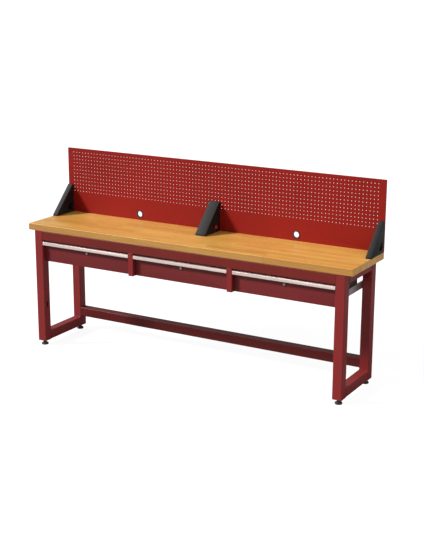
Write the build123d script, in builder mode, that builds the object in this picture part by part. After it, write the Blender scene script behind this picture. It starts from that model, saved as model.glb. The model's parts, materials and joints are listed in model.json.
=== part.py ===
from build123d import *
import os

# Workbench with three drawers, a butcher-block top and a perforated back panel.
# Millimetres. X runs along the bench, Y from front to back, Z up from the floor.
# The origin lies on the floor, under the middle of the worktop.

# ---------------------------------------------------------------- driving sizes
bench_length = 2438.0
bench_depth = 490.0
end_overhang = 48.0
edge_overhang = 2.0
frame_height = 801.0
foot_height = 34.0
worktop_thickness = 44.5
worktop_edge_radius = 3.0

tube_size = 65.0
tube_wall = 2.5
tube_corner = 5.0
stretcher_rise = 76.0
leg_slot_rise = 266.0
leg_slot_length = 45.0
leg_slot_width = 12.0

divider_size = 38.0
divider_wall = 2.0
divider_corner = 3.0
divider_drop = 154.5
runner_height = 60.0
drawer_bays = 3

front_gap = 2.0
front_top_gap = 8.0
front_bottom_gap = 2.0
front_recess = 30.0
front_pan_depth = 20.0
sheet = 1.5
sheet_corner = 2.0

box_setback = 84.0
box_rise = 28.5
box_top_gap = 16.0

slide_gap = 2.0
slide_rear_gap = 28.0
slide_height = 45.0
slide_width = 13.0
slide_sheet = 1.5
member_sheet = 1.2
member_clearance = 0.4
slide_rise = 20.5

pull_height = 21.0
pull_drop = 5.0
pull_lip = 3.0
pull_sheet = 2.5
pull_tail = 20.0

lock_drop = 47.5
bezel_diameter = 25.0
bezel_depth = 5.0
barrel_diameter = 19.0
plug_diameter = 13.0
running_clearance = 0.05
barrel_behind_box = 10.0
cam_thickness = 2.5
cam_width = 14.0
cam_reach = 45.0
key_slot_width = 2.0
key_slot_length = 8.0
key_slot_depth = 6.0
keeper_clearance = 1.5
keeper_overlap = 8.0
keeper_width = 30.0
keeper_base = 20.0
keeper_sheet = 2.0

panel_depth = 12.7
panel_corner = 2.0
lower_panel_height = 127.0
pegboard_height = 335.5
peg_pitch = 25.4
peg_hole_diameter = 4.76
peg_side_margin = 38.0
peg_end_margin = 25.0
cable_port_spacing = 1219.0
cable_port_rise = 42.0
cable_port_diameter = 46.0
grommet_flange = 54.0
grommet_bore = 40.0
grommet_lip = 2.0
grommet_depth = 10.0

bracket_width = 38.0
centre_bracket_width = 76.0
bracket_height = 200.0
bracket_reach = 200.0
bracket_sheet = 3.0
bracket_nose = 10.0
bracket_flange = 15.0
bracket_rim = 24.0
bracket_window_margin = 116.0
bracket_window_radius = 8.0
bracket_bolt_forward = 150.0
bracket_bolt_drop = 22.0
bracket_bolt_inset = 9.0

bolt_diameter = 6.0
bolt_head_diameter = 10.5
bolt_head_height = 3.3
bolt_wood_depth = 25.0
nut_width = 10.0
nut_height = 5.0

screw_diameter = 8.0
screw_head_width = 13.0
screw_head_height = 5.5
screw_wood_depth = 30.0
screw_access_diameter = 20.0
side_screw_spacing = 200.0
rail_screws = 4
panel_screw_diameter = 5.0
panel_screw_head = 9.5
panel_screw_head_height = 3.0
panel_screw_depth = 22.0
panel_screws_count = 6

foot_plate_thickness = 6.0
stud_diameter = 12.0
stud_above_plate = 54.0
pad_diameter = 48.0
pad_height = 12.0
pad_edge = 2.5
neck_diameter = 26.0
neck_height = 20.0
foot_nut_width = 22.0
foot_nut_height = 9.0

# ------------------------------------------------------- levels and centre lines
frame_bottom = foot_height
frame_top = frame_bottom + frame_height
frame_length = bench_length - 2 * end_overhang
frame_depth = bench_depth - 2 * edge_overhang
worktop_top = frame_top + worktop_thickness
front_y = -frame_depth / 2
rear_y = frame_depth / 2
half_tube = tube_size / 2
leg_x = frame_length / 2 - half_tube
leg_y = frame_depth / 2 - half_tube
inner_x = frame_length / 2 - tube_size
rail_z = frame_top - half_tube
apron_bottom = frame_top - tube_size
clear_length = frame_length - 2 * tube_size
clear_depth = frame_depth - 2 * tube_size
tube_bore = tube_size - 2 * tube_wall
tube_bore_corner = tube_corner - tube_wall

bay_width = (clear_length - (drawer_bays - 1) * divider_size) / drawer_bays
bay_pitch = bay_width + divider_size
bay_centres = [(i - (drawer_bays - 1) / 2) * bay_pitch for i in range(drawer_bays)]
divider_centres = [(i - (drawer_bays - 2) / 2) * bay_pitch for i in range(drawer_bays - 1)]
divider_bottom = apron_bottom - divider_drop
hanger_rear_y = rear_y - tube_size + divider_size / 2
runner_start = front_y + divider_size
runner_length = rear_y - tube_size - runner_start

front_bottom = divider_bottom + front_bottom_gap
front_top = apron_bottom - front_top_gap
front_height = front_top - front_bottom
front_mid = (front_top + front_bottom) / 2
front_width = bay_width - 2 * front_gap
face_y = front_y + front_recess
pan_back_y = face_y + front_pan_depth
slide_y = pan_back_y + slide_gap
slide_length = rear_y - slide_rear_gap - slide_y
box_width = bay_width - 2 * slide_width
box_depth = slide_length - box_setback
box_bottom = front_bottom + box_rise
box_height = front_top - box_top_gap - box_bottom
slide_z = box_bottom + slide_rise
lock_z = front_top - lock_drop
barrel_end_y = pan_back_y + barrel_behind_box
cam_y = barrel_end_y + running_clearance
keeper_y = cam_y - keeper_clearance - keeper_sheet
keeper_bottom = lock_z + cam_reach - keeper_overlap

panel_front_y = bench_depth / 2 - panel_depth
lower_panel_top = worktop_top + lower_panel_height
panel_bolt_z = lower_panel_top - bracket_bolt_drop
peg_columns = int((bench_length - 2 * peg_side_margin) // peg_pitch) + 1
peg_rows = int((pegboard_height - 2 * peg_end_margin) // peg_pitch) + 1
bracket_end_x = (bench_length - bracket_width) / 2
brackets = {
    "left": (-bracket_end_x, bracket_width),
    "centre": (0.0, centre_bracket_width),
    "right": (bracket_end_x, bracket_width),
}
side_screw_places = [(side * leg_x, end * side_screw_spacing / 2) for side in (-1, 1) for end in (-1, 1)]
rail_screw_pitch = clear_length / rail_screws
rail_screw_offsets = [(i - (rail_screws - 1) / 2) * rail_screw_pitch for i in range(rail_screws)]
screw_places = side_screw_places + [(x, side * leg_y) for side in (-1, 1) for x in rail_screw_offsets]
panel_screw_pitch = bench_length / panel_screws_count
panel_screw_y = panel_front_y + (panel_depth + sheet) / 2
panel_screw_places = [
    ((i - (panel_screws_count - 1) / 2) * panel_screw_pitch, panel_screw_y)
    for i in range(panel_screws_count)
]
bracket_bolt_lines = [
    x + side * (width / 2 - bracket_bolt_inset) for x, width in brackets.values() for side in (-1, 1)
]
wood_bolt_places = [(x, panel_front_y - bracket_bolt_forward) for x in bracket_bolt_lines]
panel_bolt_places = [(x, panel_bolt_z) for x in bracket_bolt_lines]

os.makedirs("parts", exist_ok=True)


def save(piece, name):
    """Label a finished piece and write it to its own file."""
    piece.part.label = name
    export_step(piece.part, f"parts/{name}.step")


def up(x, y, z):
    """A plane at a point, facing up, for what stands or hangs."""
    return Plane(origin=(x, y, z), x_dir=(1, 0, 0), z_dir=(0, 0, 1))


def back(x, y, z):
    """A plane at a point, facing the back of the bench, with its Y axis up."""
    return Plane(origin=(x, y, z), x_dir=(-1, 0, 0), z_dir=(0, 1, 0))


def along(x, y, z):
    """A plane at a point, facing along the bench, with its Y axis up."""
    return Plane(origin=(x, y, z), x_dir=(0, 1, 0), z_dir=(1, 0, 0))


def box_tube(plane, width, height, wall, corner, length):
    """A length of square or rectangular steel tube with rounded corners."""
    with BuildPart() as tube:
        with BuildSketch(plane):
            RectangleRounded(width, height, corner)
            RectangleRounded(width - 2 * wall, height - 2 * wall, corner - wall, mode=Mode.SUBTRACT)
        extrude(amount=length)
    return tube


def frame_tube(plane, length):
    """A length of the heavy frame tube."""
    return box_tube(plane, tube_size, tube_size, tube_wall, tube_corner, length)


def cut_screw_holes(tube, places):
    """Drill the top wall of a rail for its screws, and the bottom wall for the driver."""
    with BuildPart(mode=Mode.PRIVATE) as drilled:
        add(tube.part)
        with BuildSketch(up(0, 0, frame_top - tube_wall)):
            with Locations(*places):
                Circle(screw_diameter / 2)
        extrude(amount=tube_wall, mode=Mode.SUBTRACT)
        with BuildSketch(up(0, 0, apron_bottom)):
            with Locations(*places):
                Circle(screw_access_diameter / 2)
        extrude(amount=tube_wall, mode=Mode.SUBTRACT)
    return drilled


# ------------------------------------------------------------------ side frames
def leg(side, end):
    """One leg. Each front leg has a slot in the wall that faces the knee space."""
    tube = frame_tube(up(side * leg_x, end * leg_y, frame_bottom), frame_height)
    if end > 0:
        return tube
    with BuildPart() as slotted:
        add(tube.part)
        with BuildSketch(along(side * leg_x, end * leg_y, frame_bottom + leg_slot_rise)):
            SlotOverall(leg_slot_length, leg_slot_width, rotation=90)
        extrude(amount=-side * half_tube, mode=Mode.SUBTRACT)
    return slotted


for side_name, side in (("left", -1), ("right", 1)):
    for end_name, end in (("front", -1), ("rear", 1)):
        save(leg(side, end), f"{end_name}_{side_name}_leg")
    rail_start = front_y + tube_size
    save(
        frame_tube(back(side * leg_x, rail_start, frame_bottom + half_tube), clear_depth),
        f"{side_name}_bottom_rail",
    )
    top_rail = frame_tube(back(side * leg_x, rail_start, rail_z), clear_depth)
    own_places = [place for place in side_screw_places if place[0] * side > 0]
    save(cut_screw_holes(top_rail, own_places), f"{side_name}_top_rail")

# --------------------------------------------------------------- long cross rails
rear_stretcher = frame_tube(along(-inner_x, leg_y, frame_bottom + stretcher_rise + half_tube), clear_length)
save(rear_stretcher, "rear_stretcher")
for rail_name, end in (("front_apron", -1), ("rear_top_rail", 1)):
    long_rail = frame_tube(along(-inner_x, end * leg_y, rail_z), clear_length)
    save(cut_screw_holes(long_rail, [(x, end * leg_y) for x in rail_screw_offsets]), rail_name)

# --------------------------------------------------------------- drawer dividers
for number, x in enumerate(divider_centres, start=1):
    for end_name, y in (("front", front_y + divider_size / 2), ("rear", hanger_rear_y)):
        hanger = box_tube(
            up(x, y, divider_bottom), divider_size, divider_size, divider_wall, divider_corner, divider_drop
        )
        save(hanger, f"{end_name}_hanger_{number}")
    runner = box_tube(
        back(x, runner_start, slide_z), divider_size, runner_height, divider_wall, divider_corner,
        runner_length,
    )
    save(runner, f"slide_runner_{number}")

# ------------------------------------------------------------------ levelling feet
with BuildPart() as foot_plates:
    for side in (-1, 1):
        for end in (-1, 1):
            with BuildSketch(up(side * leg_x, end * leg_y, frame_bottom)):
                RectangleRounded(tube_bore, tube_bore, tube_bore_corner)
                Circle(stud_diameter / 2 + running_clearance, mode=Mode.SUBTRACT)
            extrude(amount=foot_plate_thickness)
save(foot_plates, "foot_plates")


def levelling_foot(x, y):
    """A foot: round pad, tapered neck, hexagon for a spanner and threaded stud, in one piece."""
    with BuildPart() as foot:
        with BuildSketch(up(x, y, 0)):
            Circle(pad_diameter / 2)
        extrude(amount=pad_height)
        fillet(foot.edges().filter_by(GeomType.CIRCLE), radius=pad_edge)
        with BuildSketch(up(x, y, pad_height)):
            Circle(neck_diameter / 2)
        extrude(amount=neck_height - pad_height, taper=20)
        with BuildSketch(up(x, y, neck_height)):
            RegularPolygon(foot_nut_width / 2, 6, major_radius=False)
        extrude(amount=foot_nut_height)
        with BuildSketch(up(x, y, neck_height)):
            Circle(stud_diameter / 2)
        extrude(amount=foot_height - neck_height + foot_plate_thickness + stud_above_plate)
        chamfer(foot.edges().group_by(Axis.Z)[-1], length=1)
    return foot


for side_name, side in (("left", -1), ("right", 1)):
    for end_name, end in (("front", -1), ("rear", 1)):
        save(levelling_foot(side * leg_x, end * leg_y), f"{end_name}_{side_name}_foot")

# ------------------------------------------------------------------------ worktop
with BuildPart() as worktop:
    with BuildSketch(up(0, 0, frame_top)):
        Rectangle(bench_length, bench_depth)
    extrude(amount=worktop_thickness)
    fillet(worktop.edges(), radius=worktop_edge_radius)
    with BuildSketch(up(0, 0, frame_top)):
        with Locations(*screw_places):
            Circle(screw_diameter / 2)
    extrude(amount=screw_wood_depth, mode=Mode.SUBTRACT)
    with BuildSketch(up(0, 0, worktop_top)):
        with Locations(*wood_bolt_places):
            Circle(bolt_diameter / 2)
    extrude(amount=-bolt_wood_depth, mode=Mode.SUBTRACT)
    with BuildSketch(up(0, 0, worktop_top)):
        with Locations(*panel_screw_places):
            Circle(panel_screw_diameter / 2)
    extrude(amount=-panel_screw_depth, mode=Mode.SUBTRACT)
save(worktop, "worktop")

with BuildPart() as worktop_screws:
    screw_seat = frame_top - tube_wall
    for x, y in screw_places:
        with BuildSketch(up(x, y, screw_seat - screw_head_height)):
            RegularPolygon(screw_head_width / 2, 6, major_radius=False)
        extrude(amount=screw_head_height)
        with BuildSketch(up(x, y, screw_seat)):
            Circle(screw_diameter / 2)
        extrude(amount=tube_wall + screw_wood_depth)
save(worktop_screws, "worktop_screws")


# --------------------------------------------------------------------- back panel
def pan(height, bottom):
    """A sheet-steel pan with its edges folded back, open at the rear."""
    with BuildPart() as folded:
        with BuildSketch(back(0, panel_front_y, bottom + height / 2)):
            Rectangle(bench_length, height)
        extrude(amount=panel_depth)
        fillet(folded.edges().filter_by(Axis.Y), radius=panel_corner)
        with BuildSketch(back(0, panel_front_y + sheet, bottom + height / 2)):
            Rectangle(bench_length - 2 * sheet, height - 2 * sheet)
        extrude(amount=panel_depth - sheet, mode=Mode.SUBTRACT)
    return folded


cable_ports = [(side * cable_port_spacing / 2, 0) for side in (-1, 1)]
lower_pan = pan(lower_panel_height, worktop_top)
with BuildPart() as lower_panel:
    add(lower_pan.part)
    with BuildSketch(back(0, panel_front_y, worktop_top + cable_port_rise)):
        with Locations(*cable_ports):
            Circle(cable_port_diameter / 2)
    extrude(amount=sheet, mode=Mode.SUBTRACT)
    with BuildSketch(back(0, panel_front_y, 0)):
        with Locations(*[(-x, z) for x, z in panel_bolt_places]):
            Circle(bolt_diameter / 2)
    extrude(amount=sheet, mode=Mode.SUBTRACT)
    with BuildSketch(up(0, 0, worktop_top)):
        with Locations(*panel_screw_places):
            Circle(panel_screw_diameter / 2)
    extrude(amount=sheet, mode=Mode.SUBTRACT)
save(lower_panel, "lower_panel")

upper_pan = pan(pegboard_height, lower_panel_top)
with BuildPart() as pegboard:
    add(upper_pan.part)
    with BuildSketch(back(0, panel_front_y, lower_panel_top + pegboard_height / 2)):
        with GridLocations(peg_pitch, peg_pitch, peg_columns, peg_rows):
            Circle(peg_hole_diameter / 2)
    extrude(amount=sheet, mode=Mode.SUBTRACT)
save(pegboard, "pegboard")

with BuildPart() as cable_grommets:
    with BuildSketch(back(0, panel_front_y - grommet_lip, worktop_top + cable_port_rise)):
        with Locations(*cable_ports):
            Circle(grommet_flange / 2)
            Circle(grommet_bore / 2, mode=Mode.SUBTRACT)
    extrude(amount=grommet_lip)
    with BuildSketch(back(0, panel_front_y, worktop_top + cable_port_rise)):
        with Locations(*cable_ports):
            Circle(cable_port_diameter / 2)
            Circle(grommet_bore / 2, mode=Mode.SUBTRACT)
    extrude(amount=grommet_depth)
save(cable_grommets, "cable_grommets")

with BuildPart() as panel_screws:
    for x, y in panel_screw_places:
        with BuildSketch(up(x, y, worktop_top + sheet)):
            Circle(panel_screw_head / 2)
        extrude(amount=panel_screw_head_height)
        with BuildSketch(up(x, y, worktop_top + sheet)):
            Circle(panel_screw_diameter / 2)
        extrude(amount=-sheet - panel_screw_depth)
save(panel_screws, "panel_screws")


# ----------------------------------------------------------------- panel brackets
def bracket_outline(inset):
    """Side view of a bracket as points in Y and Z, measured from the foot of the panel."""
    run = bracket_reach - bracket_nose
    rise = bracket_height - bracket_nose
    slope = (run**2 + rise**2) ** 0.5
    return [
        (-inset, inset),
        (-bracket_reach + inset, inset),
        (-bracket_reach + inset, bracket_nose - inset * (slope - rise) / run),
        (-bracket_nose + inset * (slope - run) / rise, bracket_height - inset),
        (-inset, bracket_height - inset),
    ]


def bracket(x, width):
    """A gusset folded from steel sheet: sloped front, two windowed cheeks and turned-in flanges."""
    half = width / 2
    corner_y = panel_front_y
    cheek_gap = width - 2 * bracket_sheet
    mouth = width - 2 * bracket_flange
    bolt_side = half - bracket_bolt_inset
    window_reach = bracket_reach - bracket_window_margin
    window_height = bracket_height - bracket_window_margin
    with BuildPart() as gusset:
        with BuildSketch(along(x - half, corner_y, worktop_top)):
            Polygon(*bracket_outline(0), align=None)
        extrude(amount=width)
        with BuildSketch(along(x - cheek_gap / 2, corner_y, worktop_top)):
            Polygon(*bracket_outline(bracket_sheet), align=None)
        extrude(amount=cheek_gap, mode=Mode.SUBTRACT)
        with BuildSketch(up(x, corner_y - bracket_sheet, worktop_top)):
            Rectangle(mouth, bracket_reach - 2 * bracket_sheet, align=(Align.CENTER, Align.MAX))
        extrude(amount=bracket_sheet, mode=Mode.SUBTRACT)
        with BuildSketch(back(x, corner_y - bracket_sheet, worktop_top)):
            Rectangle(mouth, bracket_height - bracket_sheet, align=(Align.CENTER, Align.MIN))
        extrude(amount=bracket_sheet, mode=Mode.SUBTRACT)
        with BuildSketch(along(x - half, corner_y, worktop_top)):
            window = Polygon(
                (-bracket_rim, bracket_rim),
                (-window_reach, bracket_rim),
                (-bracket_rim, window_height),
                align=None,
            )
            fillet(window.vertices(), radius=bracket_window_radius)
        extrude(amount=width, mode=Mode.SUBTRACT)
        with BuildSketch(up(x, corner_y - bracket_bolt_forward, worktop_top)):
            with Locations((-bolt_side, 0), (bolt_side, 0)):
                Circle(bolt_diameter / 2)
        extrude(amount=bracket_sheet, mode=Mode.SUBTRACT)
        with BuildSketch(back(x, corner_y - bracket_sheet, panel_bolt_z)):
            with Locations((-bolt_side, 0), (bolt_side, 0)):
                Circle(bolt_diameter / 2)
        extrude(amount=bracket_sheet, mode=Mode.SUBTRACT)
    return gusset


for place, (x, width) in brackets.items():
    save(bracket(x, width), f"{place}_bracket")

with BuildPart() as bracket_bolts:
    for x, y in wood_bolt_places:
        with BuildSketch(up(x, y, worktop_top + bracket_sheet)):
            Circle(bolt_head_diameter / 2)
        extrude(amount=bolt_head_height)
        with BuildSketch(up(x, y, worktop_top + bracket_sheet)):
            Circle(bolt_diameter / 2)
        extrude(amount=-bracket_sheet - bolt_wood_depth)
    for x, z in panel_bolt_places:
        with BuildSketch(back(x, panel_front_y - bracket_sheet - bolt_head_height, z)):
            Circle(bolt_head_diameter / 2)
        extrude(amount=bolt_head_height)
        with BuildSketch(back(x, panel_front_y - bracket_sheet, z)):
            Circle(bolt_diameter / 2)
        extrude(amount=bracket_sheet + sheet + nut_height)
        with BuildSketch(back(x, panel_front_y + sheet, z)):
            RegularPolygon(nut_width / 2, 6, major_radius=False)
        extrude(amount=nut_height)
save(bracket_bolts, "bracket_bolts")

# ------------------------------------------------------------------- lock keepers
with BuildPart() as lock_keepers:
    for x in bay_centres:
        with BuildSketch(up(x, keeper_y + keeper_sheet, apron_bottom - keeper_sheet)):
            Rectangle(keeper_width, keeper_base, align=(Align.CENTER, Align.MAX))
        extrude(amount=keeper_sheet)
        with BuildSketch(up(x, keeper_y + keeper_sheet, keeper_bottom)):
            Rectangle(keeper_width, keeper_sheet, align=(Align.CENTER, Align.MAX))
        extrude(amount=apron_bottom - keeper_bottom)
save(lock_keepers, "lock_keepers")


# ------------------------------------------------------------------------ drawers
def drawer_front(x):
    """The front: a pan with its edges folded back, drilled for the lock."""
    with BuildPart() as front:
        with BuildSketch(back(x, face_y, front_mid)):
            Rectangle(front_width, front_height)
        extrude(amount=front_pan_depth)
        fillet(front.edges().filter_by(Axis.Y), radius=sheet_corner)
        with BuildSketch(back(x, face_y + sheet, front_mid)):
            Rectangle(front_width - 2 * sheet, front_height - 2 * sheet)
        extrude(amount=front_pan_depth - sheet, mode=Mode.SUBTRACT)
        with BuildSketch(back(x, face_y, lock_z)):
            Circle(barrel_diameter / 2)
        extrude(amount=sheet, mode=Mode.SUBTRACT)
    return front


def drawer_box(x):
    """The tray behind the front, folded from sheet and open at the top."""
    mid_y = pan_back_y + box_depth / 2
    with BuildPart() as tray:
        with BuildSketch(up(x, mid_y, box_bottom)):
            Rectangle(box_width, box_depth)
        extrude(amount=box_height)
        fillet(tray.edges().filter_by(Axis.Z), radius=sheet_corner)
        with BuildSketch(up(x, mid_y, box_bottom + sheet)):
            Rectangle(box_width - 2 * sheet, box_depth - 2 * sheet)
        extrude(amount=box_height - sheet, mode=Mode.SUBTRACT)
        with BuildSketch(back(x, pan_back_y, lock_z)):
            Circle(barrel_diameter / 2)
        extrude(amount=sheet, mode=Mode.SUBTRACT)
    return tray


def drawer_pull(x):
    """A full-width extruded pull: front lip, top shelf and a tail fixed to the front."""
    lip_back = pull_lip
    tail_front = front_recess - pull_sheet
    shelf = pull_height - pull_sheet
    with BuildPart() as pull:
        with BuildSketch(along(x - front_width / 2, front_y, front_top - pull_drop - pull_height)):
            with BuildLine():
                Polyline(
                    (0, 0),
                    (0, pull_height),
                    (front_recess, pull_height),
                    (front_recess, pull_height - pull_tail),
                    (tail_front, pull_height - pull_tail),
                    (tail_front, shelf),
                    (lip_back, shelf),
                    (lip_back, 0),
                    close=True,
                )
            make_face()
        extrude(amount=front_width)
        top_front = pull.edges().filter_by(Axis.X).group_by(Axis.Y)[0].sort_by(Axis.Z)[-1]
        fillet(top_front, radius=pull_lip / 2)
    return pull


def lock_barrel(x):
    """The fixed part of a drawer lock: bezel on the face and barrel through both sheets."""
    with BuildPart() as barrel:
        with BuildSketch(back(x, face_y - bezel_depth, lock_z)):
            Circle(bezel_diameter / 2)
        extrude(amount=bezel_depth)
        chamfer(barrel.edges().group_by(Axis.Y)[0], length=1)
        with BuildSketch(back(x, face_y, lock_z)):
            Circle(barrel_diameter / 2)
        extrude(amount=barrel_end_y - face_y)
        with BuildSketch(back(x, face_y - bezel_depth, lock_z)):
            Circle(plug_diameter / 2 + running_clearance)
        extrude(amount=barrel_end_y - face_y + bezel_depth, mode=Mode.SUBTRACT)
    return barrel


def lock_plug(x):
    """The turning core of a lock, with its key slot upright while it is open."""
    with BuildPart() as plug:
        with BuildSketch(back(x, face_y - bezel_depth, lock_z)):
            Circle(plug_diameter / 2)
        extrude(amount=cam_y - face_y + bezel_depth)
        with BuildSketch(back(x, face_y - bezel_depth, lock_z)):
            Rectangle(key_slot_width, key_slot_length)
        extrude(amount=key_slot_depth, mode=Mode.SUBTRACT)
    return plug


def lock_cam(x):
    """The flat bolt on the back of the plug. It lies level while the lock is open."""
    with BuildPart() as cam:
        with BuildSketch(back(x, cam_y, lock_z)):
            Circle(cam_width / 2)
            Rectangle(cam_reach, cam_width, align=(Align.MIN, Align.CENTER))
        extrude(amount=cam_thickness)
        far_end = cam.edges().filter_by(Axis.Y).group_by(Axis.X)[0]
        fillet(far_end, radius=cam_width / 4)
    return cam


def channel(x, facing, web, flange, height, gauge, start, length):
    """One member of a slide. Its web stands at x and its flanges point along facing."""
    with BuildPart() as member:
        with BuildSketch(back(x, start, slide_z)):
            outward = Align.MAX if facing > 0 else Align.MIN
            Rectangle(flange, height, align=(outward, Align.CENTER))
            with Locations((-facing * web, 0)):
                Rectangle(flange, height - 2 * gauge, align=(outward, Align.CENTER), mode=Mode.SUBTRACT)
        extrude(amount=length)
    return member


def slide_pair(centre, offset, web, flange, height, gauge, inward, start, length):
    """The left and right member of one drawer, as two separate solids."""
    with BuildPart() as pair:
        for side in (-1, 1):
            wall_x = centre + side * (bay_width / 2 - offset)
            add(channel(wall_x, -side * inward, web, flange, height, gauge, start, length).part)
    return pair


middle_height = slide_height - 2 * (slide_sheet + member_clearance)
inner_height = middle_height - 2 * (member_sheet + member_clearance)
outer_flange = slide_width - slide_sheet - 2 * member_clearance
middle_offset = slide_sheet + member_clearance
middle_flange = slide_width - middle_offset - member_sheet - member_clearance
inner_flange = slide_width - middle_offset - member_sheet - member_clearance

for number, x in enumerate(bay_centres, start=1):
    save(drawer_front(x), f"drawer_front_{number}")
    save(drawer_box(x), f"drawer_box_{number}")
    save(drawer_pull(x), f"drawer_pull_{number}")
    save(lock_barrel(x), f"lock_barrel_{number}")
    save(lock_plug(x), f"lock_plug_{number}")
    save(lock_cam(x), f"lock_cam_{number}")
    outer = slide_pair(
        x, 0, slide_sheet, outer_flange, slide_height, slide_sheet, 1, slide_y, slide_length
    )
    save(outer, f"slide_outer_{number}")
    middle = slide_pair(
        x, middle_offset, member_sheet, middle_flange, middle_height, member_sheet, 1, slide_y, slide_length
    )
    save(middle, f"slide_middle_{number}")
    inner = slide_pair(
        x, slide_width, member_sheet, inner_flange, inner_height, member_sheet, -1, pan_back_y, box_depth
    )
    save(inner, f"slide_inner_{number}")
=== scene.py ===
# %% [markdown]
# # A workbench with three drawers
# The bench is a welded steel frame, a butcher-block top, three shallow drawers and a perforated back
# panel held up by folded gussets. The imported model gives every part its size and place. This lesson
# gives the parts their finishes, and models afresh the ones whose look depends on bends and holes.

import json
import math

import bpy
from mathutils import Matrix, Vector


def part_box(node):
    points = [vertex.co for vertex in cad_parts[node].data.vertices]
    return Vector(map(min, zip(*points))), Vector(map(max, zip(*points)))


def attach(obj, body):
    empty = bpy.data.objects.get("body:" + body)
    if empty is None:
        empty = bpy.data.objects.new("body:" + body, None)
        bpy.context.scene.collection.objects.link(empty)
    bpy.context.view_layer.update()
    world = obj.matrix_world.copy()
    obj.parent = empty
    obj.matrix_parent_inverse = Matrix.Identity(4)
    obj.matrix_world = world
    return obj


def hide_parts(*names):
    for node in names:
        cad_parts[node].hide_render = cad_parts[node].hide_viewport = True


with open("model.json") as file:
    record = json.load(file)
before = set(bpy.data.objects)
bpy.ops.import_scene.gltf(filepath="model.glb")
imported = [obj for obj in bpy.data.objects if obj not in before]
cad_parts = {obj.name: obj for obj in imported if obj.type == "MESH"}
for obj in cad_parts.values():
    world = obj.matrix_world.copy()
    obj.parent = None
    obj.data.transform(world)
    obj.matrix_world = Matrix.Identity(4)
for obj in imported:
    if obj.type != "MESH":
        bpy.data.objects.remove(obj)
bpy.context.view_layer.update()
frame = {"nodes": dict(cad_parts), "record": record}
record = frame["record"]
body_of_node = {n: body for body, names in record["behaviour"]["bodies"].items() for n in names}

# %% [markdown]
# ## The camera
# The bench stands turned, its right end nearer to us, and the camera looks slightly down on it.
# A long lens keeps the far end from shrinking much. The camera is made from its three directions,
# because a small roll is easier to write that way than with Euler angles.

# %% Camera
azimuth, pitch, roll = math.radians(29.916), math.radians(15.393), math.radians(0.181)
ahead = Vector(
    (-math.sin(azimuth) * math.cos(pitch), math.cos(azimuth) * math.cos(pitch), -math.sin(pitch))
)
level = Vector((math.cos(azimuth), math.sin(azimuth), 0))
over = level.cross(ahead)
side_way = level * math.cos(roll) + over * math.sin(roll)
up_way = over * math.cos(roll) - level * math.sin(roll)
camera = bpy.data.objects.new("camera", bpy.data.cameras.new("camera"))
bpy.context.collection.objects.link(camera)
turned = Matrix((side_way, up_way, -ahead)).transposed().to_4x4()
turned.translation = Vector((3.8341, -6.4713, 2.6891))
camera.matrix_world = turned
camera.data.sensor_width = 36
camera.data.lens = 76.487
bpy.context.scene.camera = camera
print("camera is", round(turned.translation.length, 2), "m from the origin")

# %% [markdown]
# ## Light and floor
# One broad lamp stands high on the front left, so that the fronts and the top are bright, the right
# ends fall into shade, and each gusset throws a soft shadow on the panel. A second, very broad lamp on
# the right puts a pale sheen on the end faces, as a white wall would. A dim sky fills the rest.
# The floor is pale. It glows a little to the camera alone, so that it looks white without throwing
# light up at the bench.

# %% Light and floor
sky_strength, floor_glow = 0.32, 0.89
bpy.context.scene.view_settings.view_transform = "Standard"
world = bpy.data.worlds.new("studio")
bpy.context.scene.world = world
world.use_nodes = True
world.node_tree.nodes["Background"].inputs["Color"].default_value = (0.92, 0.95, 1.0, 1)
world.node_tree.nodes["Background"].inputs["Strength"].default_value = sky_strength


def shining(name, energy, spread, colour, place):
    """A lamp so far off that its light is parallel. Its spread softens the shadows."""
    lamp = bpy.data.objects.new(name, bpy.data.lights.new(name, "SUN"))
    lamp.data.energy = energy
    lamp.data.angle = math.radians(spread)
    lamp.data.color = colour
    lamp.rotation_mode = "QUATERNION"
    lamp.rotation_quaternion = Vector(place).to_track_quat("Z", "Y")
    bpy.context.collection.objects.link(lamp)
    return lamp


lamp = shining("lamp", 4.6, 11, (1.0, 0.97, 0.93), (-1.6, -1.1, 1.25))
shining("pale_wall", 1.3, 100, (1.0, 0.98, 0.96), (1.6, -0.5, 0.45))

bpy.ops.object.select_all(action="DESELECT")
bpy.ops.mesh.primitive_plane_add(size=240)
floor = bpy.context.object
floor.name = "floor"
paint = bpy.data.materials.new("floor")
paint.use_nodes = True
shader = paint.node_tree.nodes["Principled BSDF"]
shader.inputs["Base Color"].default_value = (0.25, 0.25, 0.25, 1)
shader.inputs["Roughness"].default_value = 0.9
shader.inputs["Specular IOR Level"].default_value = 0.1
shader.inputs["Emission Color"].default_value = (1, 1, 1, 1)
seen = paint.node_tree.nodes.new("ShaderNodeLightPath")
glow = paint.node_tree.nodes.new("ShaderNodeMath")
glow.operation = "MULTIPLY"
glow.inputs[1].default_value = floor_glow
paint.node_tree.links.new(seen.outputs["Is Camera Ray"], glow.inputs[0])
paint.node_tree.links.new(glow.outputs[0], shader.inputs["Emission Strength"])
floor.data.materials.append(paint)
print("lamp turned to", [round(v, 2) for v in lamp.rotation_quaternion.to_euler()])

# %% [markdown]
# ## Small helpers for node trees
# A finish is a tree of nodes. `add` places a node and sets its values, and `wire` joins two sockets.
# An effect that several finishes share is a node group with named sockets, so that it is built once
# and each finish gives it its own values.

# %% Node helpers
def add(tree, kind, settings=None, **values):
    """Adds a node, sets its properties, then gives values or links to its inputs by name or place."""
    made = tree.nodes.new("ShaderNode" + kind)
    for key, value in (settings or {}).items():
        setattr(made, key, value)
    for key, value in values.items():
        key = key.replace("_", " ")
        socket = made.inputs[int(key[3:])] if key.startswith("in ") else made.inputs[key]
        if isinstance(value, bpy.types.NodeSocket):
            tree.links.new(value, socket)
        else:
            socket.default_value = value
    return made


def wire(tree, start, end):
    tree.links.new(start, end)


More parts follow.
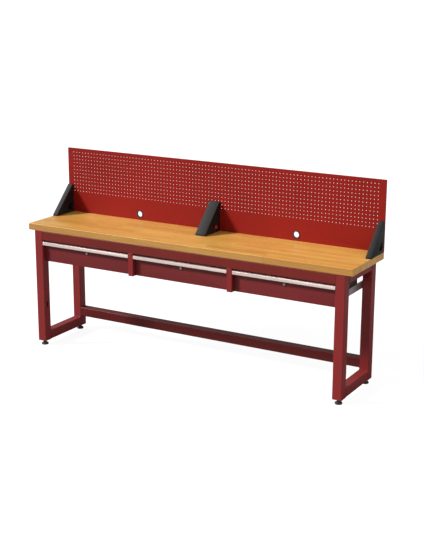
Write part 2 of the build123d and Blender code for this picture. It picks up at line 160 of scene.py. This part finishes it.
def maths(tree, operation, first, second=0.0, third=0.0, clamp=False):
    """One Math node. Returns its output."""
    kind = {"operation": operation, "use_clamp": clamp}
    return add(tree, "Math", kind, in_0=first, in_1=second, in_2=third).outputs[0]


def mixed(tree, factor, first, second, blend="MIX"):
    """Mixes two colours. Returns the colour."""
    made = tree.nodes.new("ShaderNodeMix")
    made.data_type, made.blend_type = "RGBA", blend
    for socket, value in ((made.inputs[0], factor), (made.inputs[6], first), (made.inputs[7], second)):
        if isinstance(value, bpy.types.NodeSocket):
            tree.links.new(value, socket)
        else:
            socket.default_value = value
    return made.outputs[2]


def stretched(tree, source, scale):
    """Coordinates stretched by a different amount on each axis."""
    return add(tree, "Mapping", Vector=source, Scale=scale).outputs[0]


def noise(tree, where, scale, detail=3.0, roughness=0.55):
    made = add(tree, "TexNoise", Vector=where, Scale=scale, Detail=detail, Roughness=roughness)
    return made.outputs[0]


def new_group(name, inputs, outputs):
    """An empty node group with named sockets, and its two end nodes."""
    group = bpy.data.node_groups.new(name, "ShaderNodeTree")
    for label, kind, value in inputs:
        socket = group.interface.new_socket(label, in_out="INPUT", socket_type="NodeSocket" + kind)
        if value is not None:
            socket.default_value = value
    for label, kind in outputs:
        group.interface.new_socket(label, in_out="OUTPUT", socket_type="NodeSocket" + kind)
    return group, group.nodes.new("NodeGroupInput").outputs, group.nodes.new("NodeGroupOutput").inputs


def placed(tree, group, **values):
    """A node group placed in a material, with its own values."""
    made = add(tree, "Group", {"node_tree": group})
    for key, value in values.items():
        socket = made.inputs[key.replace("_", " ")]
        if isinstance(value, bpy.types.NodeSocket):
            tree.links.new(value, socket)
        else:
            socket.default_value = value
    return made


print("helpers ready")

# %% [markdown]
# ## Powder coat
# The frame, panel, drawers and gussets are powder coated. Baked powder never flows out quite flat:
# close to, it has an orange-peel skin, and over a whole tube its colour drifts slightly. The group
# makes both from noise at two scales, and dulls the paint where dust settles on faces that look up.

# %% Powder coat group
coat, inside, outside = new_group(
    "powder_coat",
    [
        ("Colour", "Color", (0.3, 0.01, 0.01, 1)),
        ("Deep colour", "Color", (0.2, 0.01, 0.01, 1)),
        ("Drift", "Float", 0.5),
        ("Peel size", "Float", 900.0),
        ("Roughness", "Float", 0.4),
        ("Dust", "Float", 0.1),
    ],
    [("Colour", "Color"), ("Roughness", "Float"), ("Height", "Float")],
)
place = add(coat, "TexCoord").outputs
drift = noise(coat, place["Object"], 3.2, 4.0)
blotch = noise(coat, place["Object"], 21.0, 3.0)
cloud = maths(coat, "ADD", maths(coat, "MULTIPLY", drift, 0.65), maths(coat, "MULTIPLY", blotch, 0.35))
cloud = add(coat, "MapRange", Value=cloud, From_Min=0.36, From_Max=0.64).outputs[0]
share = maths(coat, "MULTIPLY", cloud, inside["Drift"])
tone = mixed(coat, share, inside["Colour"], inside["Deep colour"])
skyward = add(coat, "SeparateXYZ", Vector=place["Normal"]).outputs["Z"]
settled = add(coat, "MapRange", Value=skyward, From_Min=0.55, From_Max=1.0).outputs[0]
fluff = noise(coat, place["Object"], 55.0, 5.0, 0.7)
settled = maths(coat, "MULTIPLY", maths(coat, "MULTIPLY", settled, fluff), inside["Dust"])
wire(coat, mixed(coat, settled, tone, (0.42, 0.38, 0.34, 1)), outside["Colour"])
peel = add(coat, "TexNoise", Vector=place["Object"], Scale=inside["Peel size"], Detail=1.0).outputs[0]
sheen = maths(coat, "MULTIPLY_ADD", blotch, 0.16, -0.08)
sheen = maths(coat, "ADD", inside["Roughness"], sheen)
sheen = maths(coat, "ADD", sheen, maths(coat, "MULTIPLY", settled, 0.5))
wire(coat, sheen, outside["Roughness"])
wire(coat, peel, outside["Height"])
print("powder coat group has", len(coat.nodes), "nodes")

# %% [markdown]
# ## Painted finishes
# Each paint is the powder-coat group with its own two colours, feeding a plain Principled shader.
# A Bump node turns the orange peel into a normal. The paint's gloss is left to the shader, where the
# lamp and sky make it.

# %% Paints
def finish(name):
    """A new material, its tree and its shader."""
    made = bpy.data.materials.new(name)
    made.use_nodes = True
    return made, made.node_tree, made.node_tree.nodes["Principled BSDF"]


def bumped(tree, shader, height, depth, strength=0.35):
    made = add(tree, "Bump", Height=height, Distance=depth, Strength=strength)
    tree.links.new(made.outputs[0], shader.inputs["Normal"])


def painted(name, colour, deep, drift, roughness, dust=0.1, peel=900.0, depth=0.00006, gloss=0.5):
    made, tree, shader = finish(name)
    skin = placed(
        tree, coat, Colour=(*colour, 1), Deep_colour=(*deep, 1), Drift=drift, Peel_size=peel,
        Roughness=roughness, Dust=dust,
    )
    tree.links.new(skin.outputs["Colour"], shader.inputs["Base Color"])
    tree.links.new(skin.outputs["Roughness"], shader.inputs["Roughness"])
    shader.inputs["Specular IOR Level"].default_value = gloss
    bumped(tree, shader, skin.outputs["Height"], depth)
    return made


frame_paint = painted("frame_red", (0.235, 0.013, 0.014), (0.190, 0.010, 0.011), 0.8, 0.42, 0.04)
# The front apron's red is darker than the frame's: painted shade under the worktop.
apron_paint_with_painted_shade = painted(
    "apron_red_painted_shade", (0.168, 0.014, 0.010), (0.130, 0.010, 0.008), 0.8, 0.45, dust=0.02, gloss=0.35
)
# The rear stretcher's red is darker still: painted shade under the bench.
stretcher_paint_with_painted_shade = painted(
    "stretcher_red_painted_shade", (0.110, 0.009, 0.008), (0.085, 0.007, 0.006), 0.8, 0.45, dust=0.02, gloss=0.3
)
panel_paint = painted(
    "panel_red", (0.260, 0.007, 0.003), (0.215, 0.005, 0.002), 0.8, 0.48, gloss=0.25
)
# The drawer fronts' red is darker than the frame's: painted shade from their recess and from the pulls
# above them.
drawer_paint_with_painted_shade = painted("drawer_red", (0.175, 0.012, 0.014), (0.138, 0.010, 0.012), 0.8, 0.42)
gusset_paint = painted(
    "bracket_black", (0.010, 0.010, 0.011), (0.006, 0.006, 0.007), 0.8, 0.5, dust=0.03, gloss=0.3
)
tray_paint = painted("box_charcoal", (0.030, 0.027, 0.026), (0.020, 0.018, 0.018), 0.8, 0.5, 0.2)
foot_paint = painted(
    "foot_black", (0.022, 0.020, 0.020), (0.012, 0.011, 0.011), 0.9, 0.5, dust=0.25, peel=600.0,
    depth=0.0001,
)
paints = (frame_paint, apron_paint_with_painted_shade, stretcher_paint_with_painted_shade, panel_paint, drawer_paint_with_painted_shade, gusset_paint)
print("paints:", [made.name for made in paints + (tray_paint, foot_paint)])

# %% [markdown]
# ## Butcher block
# The top is glued up from long strips of hardwood, and each strip is a row of staves of chance length.
# White noise, read from a strip's number and a stave's number, gives every stave its own tone and its
# own piece of grain. The grain follows the length of the bench. Because it is solid in space, the same
# pattern shows side grain on the front edge and rings on the end grain.

# %% Timber group
top_half_depth = 0.245
strip_count = 11
timber, inside, outside = new_group(
    "glued_timber",
    [
        ("Pale", "Color", (0.7, 0.4, 0.15, 1)),
        ("Middle", "Color", (0.6, 0.3, 0.1, 1)),
        ("Dark", "Color", (0.4, 0.2, 0.06, 1)),
        ("Strip width", "Float", 0.044),
        ("Stave length", "Float", 0.55),
        ("Glue line", "Float", 0.0005),
    ],
    [("Colour", "Color"), ("Roughness", "Float"), ("Height", "Float")],
)
place = add(timber, "TexCoord").outputs["Object"]
split = add(timber, "SeparateXYZ", Vector=place).outputs
across = maths(timber, "ADD", split["Y"], top_half_depth)
across = maths(timber, "DIVIDE", across, inside["Strip width"])
strip = maths(timber, "FLOOR", across)
chance = add(timber, "TexWhiteNoise", {"noise_dimensions": "1D"}, W=strip).outputs["Value"]
spread = maths(timber, "MULTIPLY_ADD", chance, 0.8, 0.6)
length = maths(timber, "MULTIPLY", inside["Stave length"], spread)
start = maths(timber, "MULTIPLY", chance, 31.0)
lengthwise = maths(timber, "ADD", maths(timber, "DIVIDE", split["X"], length), start)
stave = maths(timber, "FLOOR", lengthwise)
label = add(timber, "CombineXYZ", X=strip, Y=stave, Z=3.0).outputs[0]
lot = add(timber, "TexWhiteNoise", {"noise_dimensions": "3D"}, Vector=label).outputs
tone = add(timber, "SeparateColor", Color=lot["Color"]).outputs
shift = add(timber, "VectorMath", {"operation": "SCALE"}, in_0=lot["Color"], Scale=9.0).outputs[0]
own_place = add(timber, "VectorMath", {"operation": "ADD"}, in_0=place, in_1=shift).outputs[0]
slow = noise(timber, stretched(timber, own_place, (1.1, 13.0, 13.0)), 1.0, 2.0, 0.4)
rings = maths(timber, "SINE", maths(timber, "MULTIPLY", slow, 78.0))
rings = maths(timber, "MULTIPLY_ADD", rings, 0.5, 0.5)
fibre = noise(timber, stretched(timber, own_place, (5.0, 260.0, 260.0)), 1.0, 4.0, 0.6)
pores = noise(timber, stretched(timber, own_place, (24.0, 900.0, 900.0)), 1.0, 2.0, 0.5)
pores = add(timber, "MapRange", Value=pores, From_Min=0.62, From_Max=0.74).outputs[0]
ringed = maths(timber, "MULTIPLY", rings, 0.34)
grain = maths(timber, "ADD", ringed, maths(timber, "MULTIPLY", fibre, 0.66))
wood = mixed(timber, tone["Red"], inside["Pale"], inside["Middle"])
streak = add(timber, "MapRange", Value=grain, From_Min=0.35, From_Max=0.85, To_Max=0.5).outputs[0]
wood = mixed(timber, streak, wood, inside["Dark"])
heart = add(timber, "MapRange", Value=tone["Green"], From_Min=0.8, From_Max=1.0, To_Max=0.35).outputs[0]
wood = mixed(timber, heart, wood, inside["Dark"])
wood = mixed(timber, maths(timber, "MULTIPLY", pores, 0.25), wood, (0.16, 0.07, 0.02, 1))
edge_y = maths(timber, "MULTIPLY", maths(timber, "PINGPONG", across, 0.5), inside["Strip width"])
edge_x = maths(timber, "MULTIPLY", maths(timber, "PINGPONG", lengthwise, 0.5), length)
nearest = maths(timber, "MINIMUM", edge_y, edge_x)
line = maths(timber, "LESS_THAN", nearest, inside["Glue line"])
wood = mixed(timber, maths(timber, "MULTIPLY", line, 0.45), wood, (0.20, 0.09, 0.03, 1))
wire(timber, wood, outside["Colour"])
handled = noise(timber, place, 4.0, 3.0)
worn = maths(timber, "MULTIPLY", handled, 0.5)
worn = maths(timber, "ADD", maths(timber, "MULTIPLY", grain, 0.14), worn)
wire(timber, worn, outside["Roughness"])
raised = maths(timber, "MULTIPLY", fibre, 0.6)
raised = maths(timber, "SUBTRACT", raised, maths(timber, "ADD", pores, line))
wire(timber, raised, outside["Height"])
print("timber group has", len(timber.nodes), "nodes")

# %% Worktop finish
top_finish, tree, shader = finish("butcher_block")
block = placed(
    tree, timber, Pale=(0.80, 0.455, 0.108, 1), Middle=(0.70, 0.345, 0.066, 1),
    Dark=(0.48, 0.21, 0.038, 1), Strip_width=2 * top_half_depth / strip_count, Stave_length=0.6,
    Glue_line=0.0004,
)
tree.links.new(block.outputs["Colour"], shader.inputs["Base Color"])
tree.links.new(block.outputs["Roughness"], shader.inputs["Roughness"])
shader.inputs["Coat Weight"].default_value = 0.25
shader.inputs["Coat Roughness"].default_value = 0.3
bumped(tree, shader, block.outputs["Height"], 0.00012, 0.4)
print("worktop finish made")

# %% [markdown]
# ## Bare and plated metal
# The pulls are anodised aluminium with a fine lengthwise brushing, and the slides and screws are zinc
# plated. The pulls' pink tint is a painted reflection of the red paint round them. Brushing is noise
# stretched many times along one axis. Zinc shows a faint spangle, which comes from a cell pattern. Both
# change the roughness more than the colour, as they do on the real metal.

# %% Metal group
plate, inside, outside = new_group(
    "metal_skin",
    [
        ("Colour", "Color", (0.7, 0.7, 0.7, 1)),
        ("Tarnish", "Color", (0.4, 0.4, 0.4, 1)),
        ("Stretch", "Vector", (4.0, 900.0, 900.0)),
        ("Roughness", "Float", 0.3),
        ("Spangle", "Float", 0.0),
    ],
    [("Colour", "Color"), ("Roughness", "Float"), ("Height", "Float")],
)
place = add(plate, "TexCoord").outputs["Object"]
drawn_out = add(plate, "VectorMath", {"operation": "MULTIPLY"}, in_0=place, in_1=inside["Stretch"])
drawn_out = drawn_out.outputs[0]
brush = noise(plate, drawn_out, 1.0, 4.0, 0.65)
cells = add(plate, "TexVoronoi", Vector=place, Scale=260.0).outputs["Color"]
cell = add(plate, "SeparateColor", Color=cells).outputs["Red"]
haze = noise(plate, place, 14.0, 4.0, 0.6)
haze = add(plate, "MapRange", Value=haze, From_Min=0.45, From_Max=0.75, To_Max=0.5).outputs[0]
flake = maths(plate, "MULTIPLY", cell, inside["Spangle"])
dulled = maths(plate, "ADD", haze, maths(plate, "MULTIPLY", flake, 0.8), clamp=True)
wire(plate, mixed(plate, dulled, inside["Colour"], inside["Tarnish"]), outside["Colour"])
rough = maths(plate, "ADD", inside["Roughness"], maths(plate, "MULTIPLY_ADD", brush, 0.24, -0.12))
wire(plate, maths(plate, "ADD", rough, maths(plate, "MULTIPLY", flake, 0.3)), outside["Roughness"])
wire(plate, brush, outside["Height"])


def metal(name, colour, tarnish, stretch, roughness, spangle=0.0, metallic=1.0):
    made, tree, shader = finish(name)
    skin = placed(
        tree, plate, Colour=(*colour, 1), Tarnish=(*tarnish, 1), Stretch=stretch, Roughness=roughness,
        Spangle=spangle,
    )
    tree.links.new(skin.outputs["Colour"], shader.inputs["Base Color"])
    tree.links.new(skin.outputs["Roughness"], shader.inputs["Roughness"])
    shader.inputs["Metallic"].default_value = metallic
    bumped(tree, shader, skin.outputs["Height"], 0.00003, 0.3)
    return made


# Both pull colours carry a pink tint: a painted reflection of the red paint round the pulls.
pull_metal_with_painted_reflection = metal(
    "pull_aluminium", (0.96, 0.80, 0.76), (0.84, 0.70, 0.67), (3.0, 1400.0, 1400.0), 0.42,
    metallic=0.55,
)
slide_metal = metal(
    "slide_zinc", (0.66, 0.66, 0.67), (0.42, 0.42, 0.44), (500.0, 6.0, 500.0), 0.34, spangle=0.35
)
lock_metal = metal(
    "lock_nickel", (0.78, 0.75, 0.70), (0.50, 0.47, 0.43), (700.0, 60.0, 700.0), 0.22
)
barrel_metal = metal(
    "lock_barrel", (0.20, 0.13, 0.12), (0.12, 0.08, 0.08), (700.0, 60.0, 700.0), 0.4
)
screw_metal = metal(
    "fastener_zinc", (0.68, 0.67, 0.62), (0.45, 0.44, 0.40), (300.0, 300.0, 300.0), 0.36, spangle=0.5
)
weld_paint = painted(
    "weld_red", (0.240, 0.014, 0.015), (0.195, 0.010, 0.012), 0.8, 0.38, peel=500.0, depth=0.00012
)
print("metals made, group has", len(plate.nodes), "nodes")

# %% [markdown]
# ## Moulded black plastic
# The cable grommets are moulded. Moulds are sparked to a fine even grain, so the surface is pitted at
# half a millimetre and never shines evenly. Where plugs have rubbed, it is paler and duller.

# %% Plastic group
mould, inside, outside = new_group(
    "moulded_plastic",
    [
        ("Colour", "Color", (0.02, 0.02, 0.02, 1)),
        ("Scuff colour", "Color", (0.1, 0.1, 0.1, 1)),
        ("Scuffs", "Float", 0.2),
    ],
    [("Colour", "Color"), ("Roughness", "Float"), ("Height", "Float")],
)
place = add(mould, "TexCoord").outputs["Object"]
pits = noise(mould, place, 1900.0, 2.0, 0.6)
rubbed = noise(mould, stretched(mould, place, (30.0, 30.0, 260.0)), 1.0, 5.0, 0.7)
rubbed = add(mould, "MapRange", Value=rubbed, From_Min=0.52, From_Max=0.72).outputs[0]
rubbed = maths(mould, "MULTIPLY", rubbed, inside["Scuffs"])
wire(mould, mixed(mould, rubbed, inside["Colour"], inside["Scuff colour"]), outside["Colour"])
rough = maths(mould, "MULTIPLY_ADD", pits, 0.2, 0.42)
rough = maths(mould, "ADD", rough, maths(mould, "MULTIPLY", rubbed, 0.4))
wire(mould, rough, outside["Roughness"])
wire(mould, pits, outside["Height"])


def plastic(name, colour, scuff, scuffs):
    made, tree, shader = finish(name)
    skin = placed(tree, mould, Colour=(*colour, 1), Scuff_colour=(*scuff, 1), Scuffs=scuffs)
    tree.links.new(skin.outputs["Colour"], shader.inputs["Base Color"])
    tree.links.new(skin.outputs["Roughness"], shader.inputs["Roughness"])
    bumped(tree, shader, skin.outputs["Height"], 0.00005, 0.35)
    return made


grommet_plastic = plastic("grommet_black", (0.035, 0.022, 0.020), (0.09, 0.08, 0.08), 0.15)
print("plastics made")

# %% [markdown]
# ## Each part gets its finish
# The record says which material slot every part belongs to. One table leads from slot to finish. The
# parts that differ are named apart: two long tubes, the front apron and the rear stretcher, made
# darker as painted shade under the top and under the bench, and the smoky lock barrels.

# %% Finishes onto the CAD parts
finish_of_slot = {
    "frame_red": frame_paint, "panel_red": panel_paint, "drawer_red": drawer_paint_with_painted_shade,
    "butcher_block": top_finish, "bracket_black": gusset_paint, "pull_aluminium": pull_metal_with_painted_reflection,
    "slide_zinc": slide_metal, "box_charcoal": tray_paint, "foot_black": foot_paint,
    "grommet_black": grommet_plastic, "lock_nickel": lock_metal, "fastener_zinc": screw_metal,
}
slot_of_node = {part["node"]: part["material_slot"] for part in record["subparts"]}
finish_of_node = {"front_apron": apron_paint_with_painted_shade, "rear_stretcher": stretcher_paint_with_painted_shade}
finish_of_node.update({f"lock_barrel_{number}": barrel_metal for number in (1, 2, 3)})
for node_name, part in frame["nodes"].items():
    own = finish_of_node.get(node_name, finish_of_slot[slot_of_node[node_name]])
    for seat in part.material_slots:
        seat.material = own
finishes = {*finish_of_slot.values(), *finish_of_node.values()}
print("finished", len(frame["nodes"]), "parts with", len(finishes), "finishes")

# %% [markdown]
# ## Tools for modelling
# These wrap the few steps every piece needs: clear the selection, round the corners that pass a rule,
# and put the finished piece in the frame. `joined_copy` starts from a part of the model. Its triangles
# are loose, so the copy is merged and its flat faces are made whole before it is shaped. The merge
# reaches a hundredth of a millimetre. An edge counts as lying on a box when it is within `near`.

# %% Modelling helpers
near = 0.0002


def deselect():
    if bpy.context.object and bpy.context.object.mode != "OBJECT":
        bpy.ops.object.mode_set(mode="OBJECT")
    bpy.ops.object.select_all(action="DESELECT")


def active(piece):
    deselect()
    piece.select_set(True)
    bpy.context.view_layer.objects.active = piece
    return piece


def edit(mode="EDGE"):
    bpy.ops.object.mode_set(mode="EDIT")
    bpy.ops.mesh.select_mode(type=mode)


def joined_copy(node, name):
    """A copy of a CAD part, welded into one skin with whole flat faces."""
    deselect()
    part = frame["nodes"][node]
    piece = bpy.data.objects.new(name, part.data.copy())
    bpy.context.collection.objects.link(piece)
    active(piece)
    edit("VERT")
    bpy.ops.mesh.select_all(action="SELECT")
    bpy.ops.mesh.remove_doubles(threshold=0.00001)
    bpy.ops.mesh.dissolve_limited(angle_limit=math.radians(0.5))
    bpy.ops.object.mode_set(mode="OBJECT")
    return piece


def sharp_edges(piece, least=60):
    """The edges where two faces meet at a real corner, as pairs of vertex numbers."""
    meets = {}
    for face in piece.data.polygons:
        for key in face.edge_keys:
            meets.setdefault(key, []).append(face.normal)
    found = set()
    for key, normals in meets.items():
        if len(normals) == 2 and normals[0].angle(normals[1], 0) > math.radians(least):
            found.add(key)
    return found


def rounded(piece, rule, radius, segments=3):
    """Rounds the real corners that pass a rule, as a bend in sheet or an eased edge."""
    corners, mesh, count = sharp_edges(piece), piece.data, 0
    edit()
    bpy.ops.mesh.select_all(action="DESELECT")
    bpy.ops.object.mode_set(mode="OBJECT")
    for element in mesh.edges:
        ends = [mesh.vertices[i].co for i in element.vertices]
        if element.key in corners and rule((ends[0] + ends[1]) / 2, (ends[1] - ends[0]).normalized()):
            element.select = True
            count += 1
    edit()
    bpy.ops.mesh.bevel(offset=radius, segments=segments, profile=0.5, affect="EDGES", clamp_overlap=True)
    bpy.ops.object.mode_set(mode="OBJECT")
    return count


def smooth(piece, angle=35):
    active(piece)
    bpy.ops.object.shade_smooth_by_angle(angle=math.radians(angle))


def settled_in(piece, body, nodes=(), finish=None):
    """Puts a finished piece in the frame: its finish, its body, and the parts it stands for."""
    active(piece)
    bpy.ops.object.transform_apply(location=True, rotation=True, scale=True)
    if finish:
        piece.data.materials.clear()
        piece.data.materials.append(finish)
    smooth(piece)
    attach(piece, body)
    if nodes:
        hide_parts(*nodes)
    return piece


print("modelling helpers ready")

# %% [markdown]
# ## Drawer fronts
# A drawer front is one steel sheet, folded back along all four sides. A press can't fold a dead sharp
# corner: the outside of the fold is round, and that roundness is what catches the light. The fronts
# start as copies of their parts, and the corners round the face get a bevel of three segments.

# %% Drawer fronts
def by_the_rim(box, reach=0.0003):
    """A rule that holds near the outer ends of a box in X and Z, whatever the Y."""
    low, high = box
    return lambda middle: min(middle.x - low[0], high[0] - middle.x) < reach or (
        min(middle.z - low[2], high[2] - middle.z) < reach
    )


for number in (1, 2, 3):
    node = f"drawer_front_{number}"
    box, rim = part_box(node), by_the_rim(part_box(node))
    front = joined_copy(node, f"folded_front_{number}")
    count = rounded(
        front, lambda middle, way: middle.y < box[0][1] + near and rim(middle), radius=0.0018
    )
    settled_in(front, body_of_node[node], [node], drawer_paint_with_painted_shade)
    print(front.name, "has", count, "rounded corners and", len(front.data.polygons), "faces")

# %% [markdown]
# ## Pulls
# Each pull is a length of extruded aluminium, sawn off at the width of the drawer. The die rounds every
# long corner by about half a millimetre, and the saw leaves the ends sharp. So only the corners that
# run along the bench are rounded.

# %% Pulls
for number in (1, 2, 3):
    node = f"drawer_pull_{number}"
    pull = joined_copy(node, f"extruded_pull_{number}")
    count = rounded(pull, lambda middle, way: abs(way.x) > 0.99, radius=0.0006)
    settled_in(pull, body_of_node[node], [node], pull_metal_with_painted_reflection)
    print(pull.name, "has", count, "rounded corners")

# %% [markdown]
# ## Gussets
# The gussets are folded from plate, with a window cut in each cheek. Their outline is rounded where the
# rim folds over the cheek, along the foot, the back, the slope and the two short ends. The window is cut
# by laser and stays sharp.

# %% Gussets
slope_reach = 0.009
for node in ("left_bracket", "centre_bracket", "right_bracket"):
    low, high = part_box(node)
    slope = high[2] - high[1] + slope_reach
    gusset = joined_copy(node, node.replace("bracket", "gusset"))

    def on_outline(middle, way):
        at_side = min(middle.x - low[0], high[0] - middle.x) < near
        at_y_end = min(middle.y - low[1], high[1] - middle.y) < near
        at_end = at_y_end or min(middle.z - low[2], high[2] - middle.z) < near
        return at_side and (at_end or middle.z - middle.y > slope)

    count = rounded(gusset, on_outline, radius=0.0015)
    settled_in(gusset, body_of_node[node], [node], gusset_paint)
    print(gusset.name, "has", count, "rounded corners")

# %% [markdown]
# ## Cable panel
# The strip below the pegboard is a folded sheet too, with a hole for each cable grommet. Only the folds
# at its two ends show as corners: along the top it meets the pegboard, and the wood hides its foot.

# %% Cable panel
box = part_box("lower_panel")
cable_panel = joined_copy("lower_panel", "cable_panel")
count = rounded(
    cable_panel,
    lambda middle, way: min(middle.x - box[0][0], box[1][0] - middle.x) < near and abs(way.z) > 0.9,
    radius=0.0012,
)
settled_in(cable_panel, body_of_node["lower_panel"], ["lower_panel"], panel_paint)
print("cable panel has", count, "rounded corners")

# %% [markdown]
# ## Weld beads
# Where one tube butts against another, a bead of weld runs all round the joint. It could be modelled as
# a swept torus, but its line is never quite straight. So one square loop of edges gets rounded corners,
# is divided, and is shaken a little. As a curve with some thickness it becomes a bead, and the
# bead is then copied to each joint. Under the top the beads are cut off flush, or the wood couldn't lie
# flat on the frame.

# %% A weld bead
tube_corner, bead_thickness, bead_shake = 0.005, 0.0017, 0.00025


def square_bead(name, width, seed):
    deselect()
    bpy.ops.mesh.primitive_plane_add(size=width)
    bead = bpy.context.object
    bead.name = name
    edit("VERT")
    bpy.ops.mesh.select_all(action="SELECT")
    bpy.ops.mesh.delete(type="ONLY_FACE")
    bpy.ops.mesh.select_all(action="SELECT")
    bpy.ops.mesh.bevel(offset=tube_corner, segments=2, affect="VERTICES")
    bpy.ops.mesh.select_all(action="SELECT")
    bpy.ops.mesh.subdivide(number_cuts=9)
    bpy.ops.transform.vertex_random(offset=bead_shake, seed=seed)
    bpy.ops.object.mode_set(mode="OBJECT")
    bpy.ops.object.convert(target="CURVE")
    bpy.context.object.data.bevel_depth = bead_thickness
    bpy.context.object.data.bevel_resolution = 1
    bpy.ops.object.convert(target="MESH")
    return bpy.context.object


wide_bead = square_bead("wide_bead", 0.065, 3)
narrow_bead = square_bead("narrow_bead", 0.038, 5)
print("beads have", len(wide_bead.data.polygons), "and", len(narrow_bead.data.polygons), "faces")

# %% Beads on every joint
def measured(node):
    """Two opposite corners of a part's box, and its middle."""
    low, high = (Vector(corner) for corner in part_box(node))
    return low, high, (low + high) / 2


def copied_bead(bead, turn, place):
    piece = bpy.data.objects.new("bead", bead.data.copy())
    bpy.context.collection.objects.link(piece)
    piece.data.transform(Matrix.Translation(place) @ turn)
    return piece


upright = Matrix.Rotation(math.radians(90), 4, "X")
sideways = Matrix.Rotation(math.radians(90), 4, "Y")
beads = []
for node in ("left_bottom_rail", "left_top_rail", "right_bottom_rail", "right_top_rail"):
    low, high, middle = measured(node)
    beads += [copied_bead(wide_bead, upright, (middle.x, y, middle.z)) for y in (low.y, high.y)]
for node in ("rear_stretcher", "front_apron", "rear_top_rail"):
    low, high, middle = measured(node)
    beads += [copied_bead(wide_bead, sideways, (x, middle.y, middle.z)) for x in (low.x, high.x)]
for node in ("front_hanger_1", "front_hanger_2", "rear_hanger_1", "rear_hanger_2"):
    low, high, middle = measured(node)
    beads.append(copied_bead(narrow_bead, Matrix.Identity(4), (middle.x, middle.y, high.z)))
for spare in (wide_bead, narrow_bead):
    bpy.data.objects.remove(spare)
deselect()
for bead in beads:
    bead.select_set(True)
bpy.context.view_layer.objects.active = beads[0]
bpy.ops.object.join()
welds = bpy.context.object
welds.name = "weld_beads"
edit("VERT")
bpy.ops.mesh.select_all(action="SELECT")
under_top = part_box("worktop")[0][2] - near
bpy.ops.mesh.bisect(plane_co=(0, 0, under_top), plane_no=(0, 0, 1), clear_outer=True, use_fill=True)
bpy.ops.mesh.select_all(action="SELECT")
bpy.ops.mesh.normals_make_consistent(inside=False)
settled_in(welds, body_of_node["front_apron"], [], weld_paint)
print(len(beads), "beads,", len(welds.data.polygons), "faces")
